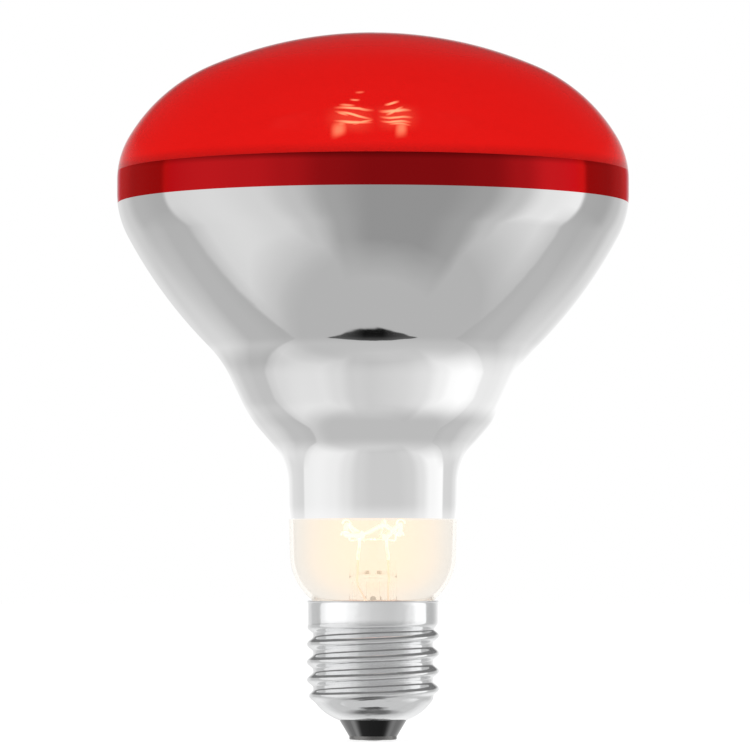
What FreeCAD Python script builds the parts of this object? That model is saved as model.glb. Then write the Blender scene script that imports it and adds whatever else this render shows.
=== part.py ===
import FreeCAD, Part
import math
import os
from FreeCAD import Vector

# Infrared heat lamp bulb: a blown reflector bulb with a red front, on a screw cap.
# Millimetres. +Z runs from the cap to the front. The origin is the tip of the centre contact.

# Blown bulb: a front of three tangent arcs above the widest ring, a reflector below it, then the neck.
bulb_radius = 52.45
widest_z = 114.75
front_height = 30.1
crown_radius = 84.5
crown_angle = math.radians(23.75)
shoulder_angle = math.radians(59.5)
glass_wall = 0.8
# Corners of the outline below the widest ring, each with its radius, height and rounding.
rim_z, rim_round = 107.33, 18.5
bowl_radius, bowl_z, bowl_round = 43.65, 90.95, 96.0
waist_radius, waist_z, waist_round = 30.9, 77.95, 23.0
hip_radius, hip_z, hip_round = 25.25, 66.1, 27.0
throat_radius, throat_z, throat_round = 17.5, 57.2, 12.4
neck_radius, neck_z, neck_round = 16.9, 32.9, 12.0
seal_radius, seal_z, seal_round = 11.0, 27.3, 1.6
seal_end_z = 24.2
longest_share = 0.99

# Cap shell: a sleeve drawn from sheet, with the lamp thread rolled into it.
sheet = 0.3
thread_major_radius = 13.2
thread_minor_radius = 11.93
thread_pitch = 3.629
crest_z = 21.58
crest_sharpness = 0.12
collar_radius = 12.95
cap_rim_z = 28.7
rim_lip_radius = 13.2
rim_lip_depth = 0.35
thread_top_z = 24.4
thread_runout = 2.0
thread_bottom_z = 7.8
thread_runin = 2.4
sleeve_radius, sleeve_z = 12.45, 9.4
bottom_hole_radius, bottom_hole_z = 7.1, 4.65
bottom_round = 10.0
facets_around = 32
rows_per_pitch = 7
bottom_rows = 5

# Insulator, contact plate and solder at the foot of the cap.
seat_gap = 0.04
facet_gap = 0.12
seat_overlap = 0.5
contact_radius = 4.85
contact_thickness = 0.75
contact_bottom_z = 0.3
contact_edge_round = 0.3
insulator_foot_radius = 4.93
insulator_top_z = 8.2
insulator_top_radius = 10.6
wire_hole_radius = 0.9
solder_radius = 2.4
rim_solder_radius = 1.0
rim_solder_z = 28.75
rim_solder_top_z = 29.5

# Cement between the sleeve and the glass.
cement_bottom_z = 25.0
cement_depth = 0.45

# Glass stem: a flare fused to the end of the neck, a tube and a flat press.
stem_tube_radius = 4.9
stem_wall = 0.8
flare_radius = 10.9
flare_depth = 0.9
flare_round = 5.0
stem_solid_z = 33.2
press_bottom_z = 34.8
press_top_z = 37.0
press_width = 9.4
press_thickness = 2.8
exhaust_hole_radius = 0.8

# Exhaust tube, drawn off to a tip inside the cap.
exhaust_radius = 1.9
exhaust_wall = 0.6
exhaust_bottom_z = 13.5
exhaust_tip_z = 11.0
exhaust_tip_radius = 0.5

# Rod with a button, and the wires that carry the filament.
rod_radius = 0.9
button_radius = 1.8
button_z = 40.2
button_height = 2.0
button_round = 0.7
support_count = 6
support_wire_radius = 0.2
support_depth = 1.0
hook_clearance = 0.2
hook_drop = 1.1
hook_lead = 1.0
support_round = 0.6
hook_round = 0.45

# Filament: an open crown of coiled wire that zigzags round the rod.
filament_ring_radius = 6.0
filament_radius = 0.5
filament_low_z = 42.0
filament_high_z = 44.4
filament_round = 0.9
filament_open_angle = 55.0
filament_end_angle = 270.0

# Lead wires: nickel above the press, a seal wire in it, copper below it.
lead_radius = 0.3
lead_press_x = 3.1
lead_round = 1.6
seal_wire_radius = 0.25
outer_lead_radius = 0.2
lead_straight = 1.2
lead_start = 0.8
flare_gap = 1.1
wire_gap = 0.1
# The contact lead passes the exhaust tube this far off it, at these two angles.
contact_lead_gap = 1.0
contact_lead_high, contact_lead_low = 242.0, 235.0
contact_lead_rise = 1.4
# The rim lead swings out to this point before it turns under the flare.
rim_lead_swing = 0.6
rim_lead_rise = 1.4
rim_lead_turn_x, rim_lead_turn_y = 1.6, 4.5
clamp_radius = 0.75
clamp_length = 1.6


def rounded(points, radii):
    """Straight runs joined by tangent arcs; an arc is held to what its two runs leave free."""
    turns = []
    for i in range(1, len(points) - 1):
        back = (points[i - 1] - points[i]).normalize()
        ahead = (points[i + 1] - points[i]).normalize()
        turns.append((back, ahead, (math.pi - back.getAngle(ahead)) / 2))
    setbacks = [0.0] + [r * math.tan(t[2]) for r, t in zip(radii, turns)] + [0.0]
    fits = [1.0] * len(setbacks)
    for i in range(len(points) - 1):
        run = points[i].distanceToPoint(points[i + 1])
        taken = setbacks[i] + setbacks[i + 1]
        share = min(1.0, longest_share * run / taken) if taken > 0 else 1.0
        fits[i] = min(fits[i], share)
        fits[i + 1] = min(fits[i + 1], share)
    edges = []
    start = points[0]
    for i, (back, ahead, half) in enumerate(turns, 1):
        setback = setbacks[i] * fits[i]
        radius = setback / math.tan(half)
        enter = points[i] + back * setback
        leave = points[i] + ahead * setback
        middle = points[i] + (back + ahead).normalize() * radius * (1 / math.cos(half) - 1)
        edges.append(Part.LineSegment(start, enter).toShape())
        edges.append(Part.Arc(enter, middle, leave).toShape())
        start = leave
    edges.append(Part.LineSegment(start, points[-1]).toShape())
    return edges


def at(radius, z):
    return Vector(radius, 0, z)


def around(radius, degrees, z):
    angle = math.radians(degrees)
    return Vector(radius * math.cos(angle), radius * math.sin(angle), z)


def turned(edges):
    """Revolves a closed outline of edges in the XZ plane about Z."""
    face = Part.Face(Part.Wire(Part.__sortEdges__(edges)))
    return face.revolve(Vector(0, 0, 0), Vector(0, 0, 1), 360)


def turned_polygon(points):
    face = Part.Face(Part.makePolygon([at(r, z) for r, z in points + points[:1]]))
    return face.revolve(Vector(0, 0, 0), Vector(0, 0, 1), 360)


def wire_along(points, bend_radius, radius):
    """Round wire along straight runs and tangent arcs."""
    path = Part.Wire(rounded(points, [bend_radius] * (len(points) - 2)))
    start = points[0]
    ring = Part.Wire(Part.makeCircle(radius, start, points[1] - start))
    return path.makePipeShell([ring], True, False)


def smooth_step(x, low, high):
    t = min(max((x - low) / (high - low), 0.0), 1.0)
    return t * t * (3 - 2 * t)


# Glass bulb

def bulb_corners():
    """Corners of the outline from the widest ring down to the sealed end, and their rounding."""
    corners = [
        at(bulb_radius, widest_z),
        at(bulb_radius, rim_z),
        at(bowl_radius, bowl_z),
        at(waist_radius, waist_z),
        at(hip_radius, hip_z),
        at(throat_radius, throat_z),
        at(neck_radius, neck_z),
        at(seal_radius, seal_z),
        at(seal_radius, seal_end_z),
    ]
    rounds = [rim_round, bowl_round, waist_round, hip_round, throat_round, neck_round, seal_round]
    return corners, rounds


def moved_in(corners, rounds, inset):
    """The same outline a distance inside: each run is moved, and met again with the next."""
    runs = []
    for a, b in zip(corners, corners[1:]):
        along = (b - a).normalize()
        runs.append((a + Vector(along.z, 0, -along.x) * inset, along))
    inner = [runs[0][0]]
    inner_rounds = []
    for (p, u), (q, v), radius in zip(runs, runs[1:], rounds):
        turn = u.z * v.x - u.x * v.z
        s = ((q.z - p.z) * v.x - (q.x - p.x) * v.z) / turn
        inner.append(p + u * s)
        inner_rounds.append(radius - inset if turn > 0 else radius + inset)
    end, along = corners[-1], runs[-1][1]
    inner.append(end + Vector(along.z, 0, -along.x) * inset)
    return inner, inner_rounds


def front_arcs(inset):
    """Crown, shoulder and edge arcs of the front, each tangent to the next, from the axis to the widest ring.

    The shoulder and edge radii follow from the width and height that the three arcs have to cover.
    """
    s1, c1 = math.sin(crown_angle), math.cos(crown_angle)
    s2, c2 = math.sin(shoulder_angle), math.cos(shoulder_angle)
    width = bulb_radius - crown_radius * s1
    height = front_height - crown_radius * (1 - c1)
    spread = (s2 - s1) * c2 - (1 - s2) * (c1 - c2)
    shoulder = (width * c2 - height * (1 - s2)) / spread
    edge = (height * (s2 - s1) - width * (c1 - c2)) / spread
    crown_centre = at(0, widest_z + front_height - crown_radius)
    shoulder_centre = crown_centre + at(s1, c1) * (crown_radius - shoulder)
    edge_centre = at(bulb_radius - edge, widest_z)
    arcs = []
    for centre, radius, low, high in (
        (crown_centre, crown_radius, 0.0, crown_angle),
        (shoulder_centre, shoulder, crown_angle, shoulder_angle),
        (edge_centre, edge, shoulder_angle, math.pi / 2),
    ):
        ends = [centre + at(math.sin(a), math.cos(a)) * (radius - inset) for a in (low, (low + high) / 2, high)]
        arcs.append(Part.Arc(*ends).toShape())
    return arcs


def bulb_outline(inset):
    corners, rounds = bulb_corners()
    if inset:
        corners, rounds = moved_in(corners, rounds, inset)
    return front_arcs(inset) + rounded(corners, rounds)


def bulb_solid():
    """The bulb as if it were full, for cutting what fits round it."""
    top = at(0, widest_z + front_height)
    foot = at(0, seal_end_z)
    closing = [
        Part.LineSegment(top, foot).toShape(),
        Part.LineSegment(foot, at(seal_radius, seal_end_z)).toShape(),
    ]
    return turned(bulb_outline(0) + closing)


def glass_bulb():
    top = widest_z + front_height
    closing = [
        Part.LineSegment(at(0, top), at(0, top - glass_wall)).toShape(),
        Part.LineSegment(at(seal_radius, seal_end_z), at(seal_radius - glass_wall, seal_end_z)).toShape(),
    ]
    return turned(bulb_outline(0) + bulb_outline(glass_wall) + closing)


# Cap shell

def bottom_centre():
    """Centre of the arc that joins the bottom hole to the sleeve."""
    dr = sleeve_radius - bottom_hole_radius
    dz = sleeve_z - bottom_hole_z
    chord = math.hypot(dr, dz)
    back = math.sqrt(bottom_round ** 2 - (chord / 2) ** 2)
    return (
        (sleeve_radius + bottom_hole_radius) / 2 - back * dz / chord,
        (sleeve_z + bottom_hole_z) / 2 + back * dr / chord,
    )


def unthreaded(z):
    """Radius of the sleeve before rolling, and its outward direction."""
    if z >= sleeve_z:
        return sleeve_radius, 1.0, 0.0
    centre_r, centre_z = bottom_centre()
    nz = (z - centre_z) / bottom_round
    nr = math.sqrt(1 - nz * nz)
    return centre_r + bottom_round * nr, nr, nz


def rolled_radius(angle, z):
    """Radius of the rolled sleeve: round valleys, narrow crests, faded out at both ends."""
    phase = 2 * math.pi * (z - crest_z) / thread_pitch - angle
    depth = thread_major_radius - thread_minor_radius
    mean = (thread_major_radius + thread_minor_radius) / 2 - crest_sharpness
    wave = mean + depth / 2 * math.cos(phase) + crest_sharpness * math.cos(2 * phase)
    plain = unthreaded(z)[0]
    threaded = plain + smooth_step(z, thread_bottom_z, thread_bottom_z + thread_runin) * (wave - plain)
    return threaded + smooth_step(z, thread_top_z - thread_runout, thread_top_z) * (collar_radius - threaded)


def sleeve_heights():
    heights = [bottom_hole_z + (thread_bottom_z - bottom_hole_z) * i / bottom_rows for i in range(bottom_rows)]
    rows = round((thread_top_z - thread_bottom_z) * rows_per_pitch / thread_pitch)
    heights += [thread_bottom_z + (thread_top_z - thread_bottom_z) * i / rows for i in range(rows + 1)]
    return heights


def sleeve_ring(z, inset):
    _, nr, nz = unthreaded(z)
    ring = []
    for i in range(facets_around):
        angle = 2 * math.pi * i / facets_around
        r = rolled_radius(angle, z) - inset * nr
        ring.append(Vector(r * math.cos(angle), r * math.sin(angle), z - inset * nz))
    return ring


def strip(lower, upper):
    """Flat facets between two rings, their diagonals rising with the thread."""
    faces = []
    for i in range(facets_around):
        j = (i + 1) % facets_around
        a, b, c, d = lower[i], lower[j], upper[j], upper[i]
        for corners in ((a, b, c), (a, c, d)):
            faces.append(Part.Face(Part.makePolygon(list(corners) + [corners[0]])))
    return faces


def collar():
    """Plain turned end of the sleeve, with a thin lip at the rim."""
    inside = collar_radius - sheet
    return turned_polygon([
        (inside, thread_top_z),
        (collar_radius, thread_top_z),
        (collar_radius, cap_rim_z - rim_lip_depth),
        (rim_lip_radius, cap_rim_z),
        (inside, cap_rim_z),
    ])


def cap_shell():
    """Sheet sleeve with its thread in flat facets, up to the collar."""
    outer = [sleeve_ring(z, 0) for z in sleeve_heights()]
    inner = [sleeve_ring(z, sheet) for z in sleeve_heights()]
    rings = outer + inner[::-1] + outer[:1]
    faces = []
    for lower, upper in zip(rings, rings[1:]):
        faces += strip(lower, upper)
    shell = Part.Shell(faces)
    shell.sewShape()
    solid = Part.Solid(shell)
    if solid.Volume < 0:
        solid.reverse()
    return solid.fuse(collar())


def sleeve_core(clearance):
    """What fits inside the sleeve without touching its thread."""
    least = thread_minor_radius - sheet - clearance
    points = [(0, bottom_hole_z)]
    inset = sheet + clearance
    rows = bottom_rows + 1
    for i in range(rows + 1):
        z = bottom_hole_z + (sleeve_z - bottom_hole_z) * i / rows
        plain, nr, nz = unthreaded(z)
        points.append((min(plain - inset * nr, least), z - inset * nz))
    points += [(least, thread_top_z), (0, thread_top_z)]
    return points


# Foot of the cap

def insulator():
    core = turned_polygon(sleeve_core(facet_gap))
    low = bottom_hole_z + sheet
    block = Part.makeCylinder(insulator_top_radius, insulator_top_z - low, at(0, low)).common(core)
    neck = Part.makeCylinder(bottom_hole_radius - sheet - seat_gap, low + seat_overlap - bottom_hole_z, at(0, bottom_hole_z))
    foot_z = contact_bottom_z + contact_thickness
    cone = Part.makeCone(insulator_foot_radius, bottom_hole_radius - seat_gap, bottom_hole_z - seat_gap - foot_z,
                         at(0, foot_z))
    throat = Part.makeCylinder(bottom_hole_radius - sheet - seat_gap, 2 * seat_gap, at(0, bottom_hole_z - seat_gap))
    hole = Part.makeCylinder(wire_hole_radius, insulator_top_z, at(0, 0))
    return cone.multiFuse([throat, neck, block]).cut(hole).removeSplitter()


def contact_plate():
    plate = Part.makeCylinder(contact_radius, contact_thickness, at(0, contact_bottom_z))
    plate = plate.cut(Part.makeCylinder(wire_hole_radius, contact_thickness, at(0, contact_bottom_z)))
    edge = [e for e in plate.Edges
            if abs(e.BoundBox.ZMax - contact_bottom_z) < 1e-6 and e.BoundBox.XLength > contact_radius]
    return plate.makeFillet(contact_edge_round, edge)


def contact_solder():
    """Low dome of solder under the plate, with its middle down to the origin."""
    radius = (solder_radius ** 2 + contact_bottom_z ** 2) / (2 * contact_bottom_z)
    ball = Part.makeSphere(radius, at(0, radius))
    dome = ball.common(Part.makeCylinder(solder_radius + 1, contact_bottom_z, at(0, 0)))
    plug = Part.makeCylinder(wire_hole_radius, contact_thickness, at(0, contact_bottom_z))
    return dome.fuse(plug).removeSplitter()


# Stem and exhaust tube

def stem_body():
    """Flare and tube below the press, as one turned outline."""
    flare_top = seal_end_z
    flare_low = seal_end_z - flare_depth
    inner = stem_tube_radius - stem_wall
    rise = flare_top + flare_round
    outside = rounded([at(flare_radius, flare_top), at(stem_tube_radius, flare_top), at(stem_tube_radius, stem_solid_z)],
                      [flare_round])
    inside = rounded([at(inner, rise), at(inner, flare_low), at(flare_radius, flare_low)],
                     [flare_round])
    closing = [
        Part.LineSegment(at(stem_tube_radius, stem_solid_z), at(0, stem_solid_z)).toShape(),
        Part.LineSegment(at(0, stem_solid_z), at(0, stem_solid_z - stem_wall)).toShape(),
        Part.LineSegment(at(0, stem_solid_z - stem_wall), at(inner, stem_solid_z - stem_wall)).toShape(),
        Part.LineSegment(at(inner, stem_solid_z - stem_wall), at(inner, rise)).toShape(),
        Part.LineSegment(at(flare_radius, flare_low), at(flare_radius, flare_top)).toShape(),
    ]
    return turned(outside + inside + closing)


def press():
    """Tube end squeezed from a circle to a flat bar."""
    circle = Part.Wire(Part.makeCircle(stem_tube_radius, at(0, stem_solid_z)))
    half_w, half_t = press_width / 2, press_thickness / 2
    ellipse = Part.Ellipse(Vector(half_w, 0, press_bottom_z), Vector(0, half_t, press_bottom_z), at(0, press_bottom_z))
    flat = Part.Wire(ellipse.toShape())
    squeezed = Part.makeLoft([circle, flat], True)
    bar = Part.Face(flat).extrude(Vector(0, 0, press_top_z - press_bottom_z))
    return squeezed.fuse(bar)


def exhaust_tube():
    inner = exhaust_radius - exhaust_wall
    top = stem_solid_z - stem_wall
    outside = Part.makeCylinder(exhaust_radius, top - exhaust_bottom_z, at(0, exhaust_bottom_z))
    tip = Part.makeCone(exhaust_tip_radius, exhaust_radius, exhaust_bottom_z - exhaust_tip_z, at(0, exhaust_tip_z))
    bore = Part.makeCylinder(inner, top - exhaust_bottom_z, at(0, exhaust_bottom_z))
    return outside.fuse(tip).removeSplitter().cut(bore)


def stem(passages):
    body = stem_body().fuse(press())
    drop = press_bottom_z - stem_solid_z
    down = Part.makeCylinder(exhaust_hole_radius, drop + stem_wall, at(0, stem_solid_z - stem_wall))
    out = Part.makeCylinder(exhaust_hole_radius, stem_tube_radius, at(0, press_bottom_z), Vector(0, -1, 0))
    return body.cut(down.fuse(out)).cut(Part.makeCompound(passages)).removeSplitter()


# Leads: one pair feeds the crown, and outside the press one goes to the contact plate and one to the rim

def lead_foot(side):
    return Vector(side * lead_press_x, 0, 0)


def seal_wires():
    wires = []
    for side in (-1, 1):
        foot = lead_foot(side) + Vector(0, 0, stem_solid_z - stem_wall)
        wires.append(Part.makeCylinder(seal_wire_radius, press_top_z - foot.z, foot))
    return wires


def filament_angle(i):
    """Angle of corner i of the crown, from one lead to the other past every support."""
    span = 360.0 - filament_open_angle
    return filament_end_angle + filament_open_angle / 2 + span * i / (support_count + 1)


def filament_corner(i):
    low = i % 2 == 0 or i == support_count + 1
    return around(filament_ring_radius, filament_angle(i), filament_low_z if low else filament_high_z)


def filament_path():
    return [filament_corner(i) for i in range(support_count + 2)]


def filament():
    return wire_along(filament_path(), filament_round, filament_radius)


def lead_side(i):
    """Side of the press that feeds the crown's end i: +1 is the lead on the +X side."""
    return 1 if i == 0 else -1


def inner_lead(i):
    """Nickel lead from the press to one end of the crown."""
    end = filament_corner(i)
    inward = Vector(-end.x, -end.y, 0).normalize()
    foot = lead_foot(lead_side(i)) + Vector(0, 0, press_top_z)
    below = Vector(end.x, end.y, end.z - clamp_radius * 2 - lead_straight)
    knee = foot + Vector(0, 0, lead_straight)
    top = Vector(end.x, end.y, end.z - clamp_radius)
    return wire_along([foot, knee, below, top], lead_round, lead_radius)


def clamp(i):
    """Short sleeve that closes a lead's end over the end of the coil."""
    end = filament_corner(i)
    along = (filament_corner(1 if i == 0 else support_count) - end).normalize()
    start = end - along * (clamp_length / 2)
    sleeve = Part.makeCylinder(clamp_radius, clamp_length, start, along)
    return sleeve.cut(Part.makeCylinder(filament_radius, clamp_length / 2, end, along))


def contact_lead():
    """Copper lead past the exhaust tube and down to the contact plate."""
    foot = lead_foot(-1) + Vector(0, 0, stem_solid_z - stem_wall)
    side = exhaust_radius + contact_lead_gap
    route = [
        foot,
        foot - Vector(0, 0, lead_start),
        around(side, contact_lead_high, cap_rim_z),
        around(side, contact_lead_low, exhaust_bottom_z),
        Vector(0, 0, insulator_top_z + contact_lead_rise),
        Vector(0, 0, contact_bottom_z + contact_thickness),
    ]
    return wire_along(route, 4 * outer_lead_radius, outer_lead_radius)


def rim_lead():
    """Copper lead under the flare and up between the glass and the sleeve to the rim."""
    foot = lead_foot(1) + Vector(0, 0, stem_solid_z - stem_wall)
    under = seal_end_z - flare_depth - flare_gap
    outside = seal_radius + outer_lead_radius + wire_gap
    at_rim = collar_radius - sheet - outer_lead_radius - wire_gap
    route = [
        foot,
        foot - Vector(0, 0, lead_start),
        Vector(lead_press_x, rim_lead_swing, under + rim_lead_rise),
        Vector(rim_lead_turn_x, rim_lead_turn_y, under),
        around(outside, 90, under),
        around((outside + at_rim) / 2, 90, cement_bottom_z),
        around(at_rim, 90, cap_rim_z - cement_depth),
    ]
    return wire_along(route, 3 * outer_lead_radius, outer_lead_radius)


# Supports

def support_wire(i):
    """Wire from the button out to the coil, ending in an open hook round it."""
    corner = filament_corner(i)
    outward = Vector(corner.x, corner.y, 0).normalize()
    up = Vector(0, 0, 1)
    reach = filament_radius + hook_clearance + support_wire_radius
    root = outward * (button_radius - support_depth) + Vector(0, 0, button_z + button_height / 2)
    hook_start = corner - outward * reach
    hook_middle = corner + up * reach
    hook_end = corner + outward * reach
    shoulder = hook_start - up * hook_drop
    leg = rounded([root, root + outward * (support_depth + hook_lead), shoulder, hook_start],
                  [support_round, hook_round])
    path = Part.Wire(leg + [Part.Arc(hook_start, hook_middle, hook_end).toShape()])
    ring = Part.Wire(Part.makeCircle(support_wire_radius, root, outward))
    return path.makePipeShell([ring], True, False)


def rod():
    shaft = Part.makeCylinder(rod_radius, button_z - press_top_z, at(0, press_top_z))
    button = Part.makeCylinder(button_radius, button_height, at(0, button_z))
    rims = [e for e in button.Edges if e.BoundBox.XLength > button_radius and e.BoundBox.ZLength < 1e-6]
    return shaft.fuse(button.makeFillet(button_round, rims)).removeSplitter()


# Cement and rim solder

def cement(rim_wire):
    top = cap_rim_z - cement_depth
    ring = Part.makeCylinder(collar_radius - sheet, top - cement_bottom_z, at(0, cement_bottom_z))
    return ring.cut(bulb_solid()).cut(rim_wire)


def rim_solder():
    """Blob where the lead comes out between the glass and the rim of the sleeve."""
    ball = Part.makeSphere(rim_solder_radius, around(collar_radius - sheet / 2, 90, rim_solder_z))
    low = cap_rim_z - cement_depth
    room = Part.makeCylinder(thread_major_radius + rim_solder_radius, rim_solder_top_z - low, at(0, low))
    blob = ball.common(room)
    sleeve = Part.makeCylinder(thread_major_radius + rim_solder_radius, cap_rim_z - low, at(0, low))
    sleeve = sleeve.cut(Part.makeCylinder(collar_radius - sheet, cap_rim_z - low, at(0, low)))
    blob = blob.cut(sleeve).cut(bulb_solid())
    return max(blob.Solids, key=lambda s: s.Volume)


def build():
    seals = seal_wires()
    supports = [support_wire(i) for i in range(1, support_count + 1)]
    rim_wire = rim_lead()
    parts = {
        "glass_bulb": glass_bulb(),
        "cap_shell": cap_shell(),
        "cap_insulator": insulator(),
        "contact_plate": contact_plate(),
        "contact_solder": contact_solder(),
        "cap_cement": cement(rim_wire),
        "rim_solder": rim_solder(),
        "stem": stem(seals),
        "exhaust_tube": exhaust_tube(),
        "support_rod": rod().cut(Part.makeCompound(supports)),
        "filament": filament(),
        "contact_lead": contact_lead(),
        "rim_lead": rim_wire,
    }
    for name, i in (("a", 0), ("b", support_count + 1)):
        lead_clamp = clamp(i)
        parts["inner_lead_" + name] = inner_lead(i).cut(lead_clamp)
        parts["filament_clamp_" + name] = lead_clamp
    for name, wire in zip("ba", seals):
        parts["seal_wire_" + name] = wire
    for i, wire in enumerate(supports, 1):
        parts["support_wire_%d" % i] = wire
    return parts


os.makedirs("parts", exist_ok=True)
for node, shape in build().items():
    print(node, shape.ShapeType, shape.isValid(), len(shape.Solids), round(shape.Volume, 2))
    shape.exportStep("parts/%s.step" % node)
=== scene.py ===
# %% [markdown]
# # An infrared heat lamp, dressed round its frame
# The CAD model already holds every part of the lamp at its true size.
# This lesson loads it as a frame that never moves, and then gives each part the look of the real thing.
# A part whose shape is right keeps its CAD mesh and only gets a better material.
# The blown bulb, the rolled cap and the coiled filament are made again, because they need a finer surface.

# %% Load the frame
import math

import bmesh
import bpy
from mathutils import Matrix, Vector


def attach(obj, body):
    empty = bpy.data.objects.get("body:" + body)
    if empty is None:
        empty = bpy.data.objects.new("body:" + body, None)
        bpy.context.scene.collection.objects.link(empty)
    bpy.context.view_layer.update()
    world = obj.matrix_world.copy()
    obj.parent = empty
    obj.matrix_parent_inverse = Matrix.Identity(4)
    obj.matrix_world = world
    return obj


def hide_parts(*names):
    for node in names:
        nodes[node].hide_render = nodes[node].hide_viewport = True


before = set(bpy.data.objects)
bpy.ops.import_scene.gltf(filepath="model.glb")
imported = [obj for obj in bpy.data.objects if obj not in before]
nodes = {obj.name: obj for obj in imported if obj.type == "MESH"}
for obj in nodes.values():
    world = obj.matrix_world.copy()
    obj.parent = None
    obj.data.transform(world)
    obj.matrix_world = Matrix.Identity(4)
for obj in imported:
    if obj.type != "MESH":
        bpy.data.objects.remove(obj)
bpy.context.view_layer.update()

print("nodes in the frame:", len(nodes))

# %% [markdown]
# ## Small helpers for turned shapes
# Glass and sheet metal of this lamp are all shapes of revolution.
# A lathe-turned shape starts as a line in the XZ plane, which is then spun round Z.
# The line could be typed in as points, but arcs are smoother when an operator makes them,
# so the line grows from one vertex: straight runs are extruded, and arcs are spun about their centres.

# %% Grow a line, one run or arc at a time
MM = 0.001


def point(radius, z):
    """A point of an outline, given in millimetres."""
    return Vector((radius * MM, 0, z * MM))


def run_to(bm, vert, target, steps=1):
    """Extrudes a straight run from vert to target, in equal steps."""
    start = vert.co.copy()
    for i in range(1, steps + 1):
        vert = bmesh.ops.extrude_vert_indiv(bm, verts=[vert])["verts"][0]
        vert.co = start.lerp(target, i / steps)
    return vert


def arc_about(bm, vert, centre, angle, steps):
    """Spins vert about centre in the XZ plane and leaves the arc behind it."""
    spun = bmesh.ops.spin(bm, geom=[vert], cent=centre, axis=(0, 1, 0), angle=angle, steps=steps)
    return spun["geom_last"][0]


def rounded_line(bm, vert, corners, rounds, step_angle=math.radians(1.5), run_steps=3):
    """Carries the line through corners; each inner corner is rounded with its radius."""
    points = [vert.co.copy()] + [point(*c) for c in corners]
    for i in range(1, len(points) - 1):
        into = (points[i] - points[i - 1]).normalized()
        out = (points[i + 1] - points[i]).normalized()
        turn = math.atan2(into.z * out.x - into.x * out.z, into.dot(out))
        radius = rounds[i - 1] * MM
        setback = radius * math.tan(abs(turn) / 2)
        vert = run_to(bm, vert, points[i] - into * setback, run_steps)
        side = Vector((into.z, 0, -into.x)) * (1 if turn > 0 else -1)
        steps = max(3, math.ceil(abs(turn) / step_angle))
        vert = arc_about(bm, vert, vert.co + side * radius, turn, steps)
    return run_to(bm, vert, points[-1], run_steps)


def turned(bm, segments):
    """Spins the whole line once round Z, and closes the seam and the pole."""
    bmesh.ops.spin(bm, geom=bm.verts[:] + bm.edges[:], axis=(0, 0, 1), angle=math.tau,
                   steps=segments, use_merge=True)
    bmesh.ops.remove_doubles(bm, verts=bm.verts, dist=1e-7)
    bmesh.ops.recalc_face_normals(bm, faces=bm.faces)


def piece_from(bm, name, materials, smooth=True):
    """Turns a bmesh into an object at the origin, with its materials in order."""
    mesh = bpy.data.meshes.new(name)
    bm.to_mesh(mesh)
    bm.free()
    for material in materials:
        mesh.materials.append(material)
    mesh.polygons.foreach_set("use_smooth", [smooth] * len(mesh.polygons))
    piece = bpy.data.objects.new(name, mesh)
    bpy.context.scene.collection.objects.link(piece)
    print(name, "has", len(mesh.polygons), "faces")
    return piece


# %% [markdown]
# ## Materials: a short kit
# Each finish is one Principled shader whose plain numbers sit on its own sockets.
# Noise read on Object coordinates adds the unevenness of real glass and metal,
# and it stays in place when the camera goes round.

# %% Material helpers
def new_material(name, **sockets):
    """A material whose Principled shader has these socket values."""
    material = bpy.data.materials.new(name)
    material.use_nodes = True
    shader = material.node_tree.nodes["Principled BSDF"]
    for socket, value in sockets.items():
        shader.inputs[socket.replace("_", " ")].default_value = value
    return material, material.node_tree.nodes, material.node_tree.links, shader


def object_noise(tree_nodes, links, scale, stretch=(1, 1, 1), detail=3.0):
    """Noise in the piece's own coordinates, in metres, stretched along an axis if asked."""
    where = tree_nodes.new("ShaderNodeTexCoord")
    mapping = tree_nodes.new("ShaderNodeMapping")
    mapping.inputs["Scale"].default_value = stretch
    noise = tree_nodes.new("ShaderNodeTexNoise")
    noise.inputs["Scale"].default_value = scale
    noise.inputs["Detail"].default_value = detail
    links.new(where.outputs["Object"], mapping.inputs["Vector"])
    links.new(mapping.outputs["Vector"], noise.inputs["Vector"])
    return noise.outputs["Fac"]


def spread(tree_nodes, links, value, low, high, lowest=0.3, highest=0.7, soft=False):
    """Maps a value to a range; soft eases both ends."""
    remap = tree_nodes.new("ShaderNodeMapRange")
    remap.interpolation_type = "SMOOTHSTEP" if soft else "LINEAR"
    remap.inputs["From Min"].default_value = lowest
    remap.inputs["From Max"].default_value = highest
    remap.inputs["To Min"].default_value = low
    remap.inputs["To Max"].default_value = high
    links.new(value, remap.inputs["Value"])
    return remap.outputs["Result"]


def bump(tree_nodes, links, shader, height, distance, strength=1.0):
    """Tilts the shading by a height field; distance is in metres."""
    node = tree_nodes.new("ShaderNodeBump")
    node.inputs["Strength"].default_value = strength
    node.inputs["Distance"].default_value = distance
    links.new(height, node.inputs["Height"])
    links.new(node.outputs["Normal"], shader.inputs["Normal"])
    return node


# %% Numbers and greys inside a material
def math_node(tree_nodes, links, operation, a, b=None):
    """One Math node; a and b are numbers or sockets."""
    node = tree_nodes.new("ShaderNodeMath")
    node.operation = operation
    for socket, value in zip(node.inputs, (a, b)):
        if isinstance(value, (int, float)):
            socket.default_value = value
        elif value is not None:
            links.new(value, socket)
    return node.outputs[0]


def grey_stops(tree_nodes, links, value, stops):
    """A smooth row of grey levels: each stop is a place from 0 to 1 and a level."""
    ramp = tree_nodes.new("ShaderNodeValToRGB")
    ramp.color_ramp.interpolation = "EASE"
    row = ramp.color_ramp.elements
    while len(row) < len(stops):
        row.new(0.5)
    for stop, (place, level) in zip(row, stops):
        stop.position = place
    for stop, (place, level) in zip(row, stops):
        stop.color = (level, level, level, 1)
    links.new(value, ramp.inputs["Fac"])
    return ramp.outputs["Color"]


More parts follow.
